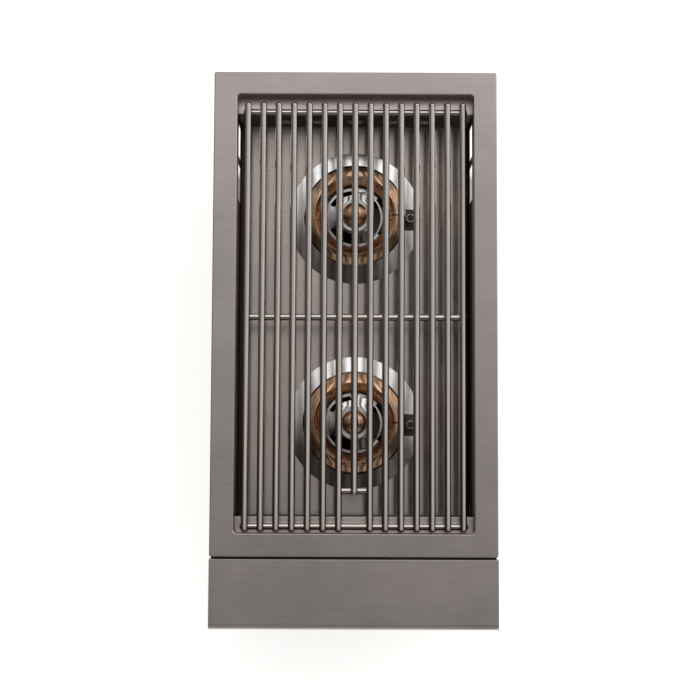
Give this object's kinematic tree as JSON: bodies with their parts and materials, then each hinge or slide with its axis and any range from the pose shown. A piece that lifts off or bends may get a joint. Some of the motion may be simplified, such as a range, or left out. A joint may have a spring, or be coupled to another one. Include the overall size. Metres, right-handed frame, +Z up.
{
  "type": "built-in side burner",
  "caption": "Built-in gas side burner: stainless drop-in rim, lift-off rod grate over brass ring burners set front to back, and a front control panel with knobs and a push igniter.",
  "frame": {"origin": "middle of the footprint, on the flat bottom", "axes": "+Y to the rear, away from the control panel; +Z up; +X to the user's right"},
  "size_m": [0.33, 0.6446, 0.216],
  "materials": {
    "rim_steel": "satin",
    "panel_steel": "satin",
    "liner_steel": "satin",
    "deck_steel": "matte",
    "screw_steel": "polished",
    "grate_steel": "polished",
    "drip_steel": "polished",
    "burner_casting": "cast",
    "burner_brass": "satin",
    "bowl_steel": "mirror",
    "hub_steel": "turned",
    "bracket_dark": "matte",
    "electrode_ceramic": "glazed",
    "hanger_steel": "satin",
    "shutter_steel": "satin",
    "valve_brass": "machined",
    "cover_steel": "zinc plated",
    "spring_steel": "bright",
    "bezel_chrome": "polished",
    "knob_plastic": "satin",
    "pipe_steel": "satin",
    "button_plastic": "gloss",
    "module_plastic": "matte"
  },
  "bodies": {
    "housing": {"rim_frame": "rim_steel", "control_panel": "panel_steel", "control_fascia": "panel_steel", "left_end_cap": "panel_steel", "right_end_cap": "panel_steel", "left_side_panel": "liner_steel", "right_side_panel": "liner_steel", "rear_panel": "liner_steel", "front_wall": "liner_steel", "bottom_panel": "liner_steel", "rear_ledge": "liner_steel", "front_ledge": "liner_steel", "burner_deck": "deck_steel", "fascia_screws": "screw_steel", "front_drip_ring": "drip_steel", "front_burner_body": "burner_casting", "front_flame_bowl": "bowl_steel", "front_burner_hub": "hub_steel", "front_electrode_bracket": "bracket_dark", "front_electrode": "electrode_ceramic", "front_burner_hanger": "hanger_steel", "rear_drip_ring": "drip_steel", "rear_burner_body": "burner_casting", "rear_flame_bowl": "bowl_steel", "rear_burner_hub": "hub_steel", "rear_electrode_bracket": "bracket_dark", "rear_electrode": "electrode_ceramic", "rear_burner_hanger": "hanger_steel", "left_valve_body": "valve_brass", "left_orifice_spud": "valve_brass", "left_valve_cover": "cover_steel", "left_valve_spring": "spring_steel", "left_knob_bezel": "bezel_chrome", "right_valve_body": "valve_brass", "right_orifice_spud": "valve_brass", "right_valve_cover": "cover_steel", "right_valve_spring": "spring_steel", "right_knob_bezel": "bezel_chrome", "manifold": "pipe_steel", "manifold_brackets": "pipe_steel", "gas_inlet_pipe": "pipe_steel", "gas_inlet_fitting": "valve_brass", "igniter_bezel": "bezel_chrome", "ignition_module": "module_plastic"},
    "grate": {"grate_rods": "grate_steel", "grate_cross_rods": "grate_steel", "grate_lift_bar": "grate_steel"},
    "front_ring": {"front_burner_ring": "burner_brass"},
    "rear_ring": {"rear_burner_ring": "burner_brass"},
    "front_cap": {"front_centre_cap": "burner_brass"},
    "rear_cap": {"rear_centre_cap": "burner_brass"},
    "left_plug": {"left_valve_plug": "valve_brass"},
    "right_plug": {"right_valve_plug": "valve_brass"},
    "left_dial": {"left_knob": "knob_plastic"},
    "right_dial": {"right_knob": "knob_plastic"},
    "button": {"igniter_button": "button_plastic"},
    "front_shutter": {"front_air_shutter": "shutter_steel"},
    "rear_shutter": {"rear_air_shutter": "shutter_steel"}
  },
  "joints": [
    {"name": "grate_lift", "type": "slide", "parent": "housing", "child": "grate", "axis": [0, 0, 1], "range_m": [0, 0.12]},
    {"name": "front_ring_lift", "type": "slide", "parent": "housing", "child": "front_ring", "axis": [0, 0, 1], "range_m": [0, 0.03]},
    {"name": "rear_ring_lift", "type": "slide", "parent": "housing", "child": "rear_ring", "axis": [0, 0, 1], "range_m": [0, 0.03]},
    {"name": "front_cap_lift", "type": "slide", "parent": "housing", "child": "front_cap", "axis": [0, 0, 1], "range_m": [0, 0.025]},
    {"name": "rear_cap_lift", "type": "slide", "parent": "housing", "child": "rear_cap", "axis": [0, 0, 1], "range_m": [0, 0.025]},
    {"name": "left_valve_turn", "type": "hinge", "parent": "housing", "child": "left_plug", "pos_m": [-0.047, -0.277, 0.104], "axis": [0, -1, 0], "range_deg": [0, 240]},
    {"name": "right_valve_turn", "type": "hinge", "parent": "housing", "child": "right_plug", "pos_m": [0.047, -0.277, 0.104], "axis": [0, -1, 0], "range_deg": [0, 240]},
    {"name": "left_knob_push", "type": "slide", "parent": "left_plug", "child": "left_dial", "axis": [0, 1, 0], "range_m": [0, 0.003], "stiffness_N_per_m": 600, "springref_m": -0.002},
    {"name": "right_knob_push", "type": "slide", "parent": "right_plug", "child": "right_dial", "axis": [0, 1, 0], "range_m": [0, 0.003], "stiffness_N_per_m": 600, "springref_m": -0.002},
    {"name": "igniter_push", "type": "slide", "parent": "housing", "child": "button", "axis": [0, 1, 0], "range_m": [0, 0.003], "stiffness_N_per_m": 400, "springref_m": -0.002},
    {"name": "front_shutter_turn", "type": "hinge", "parent": "housing", "child": "front_shutter", "pos_m": [0.047, -0.228, 0.104], "axis": [0, 1, 0], "range_deg": [-45, 45]},
    {"name": "rear_shutter_turn", "type": "hinge", "parent": "housing", "child": "rear_shutter", "pos_m": [-0.047, -0.228, 0.104], "axis": [0, 1, 0], "range_deg": [-45, 45]}
  ]
}
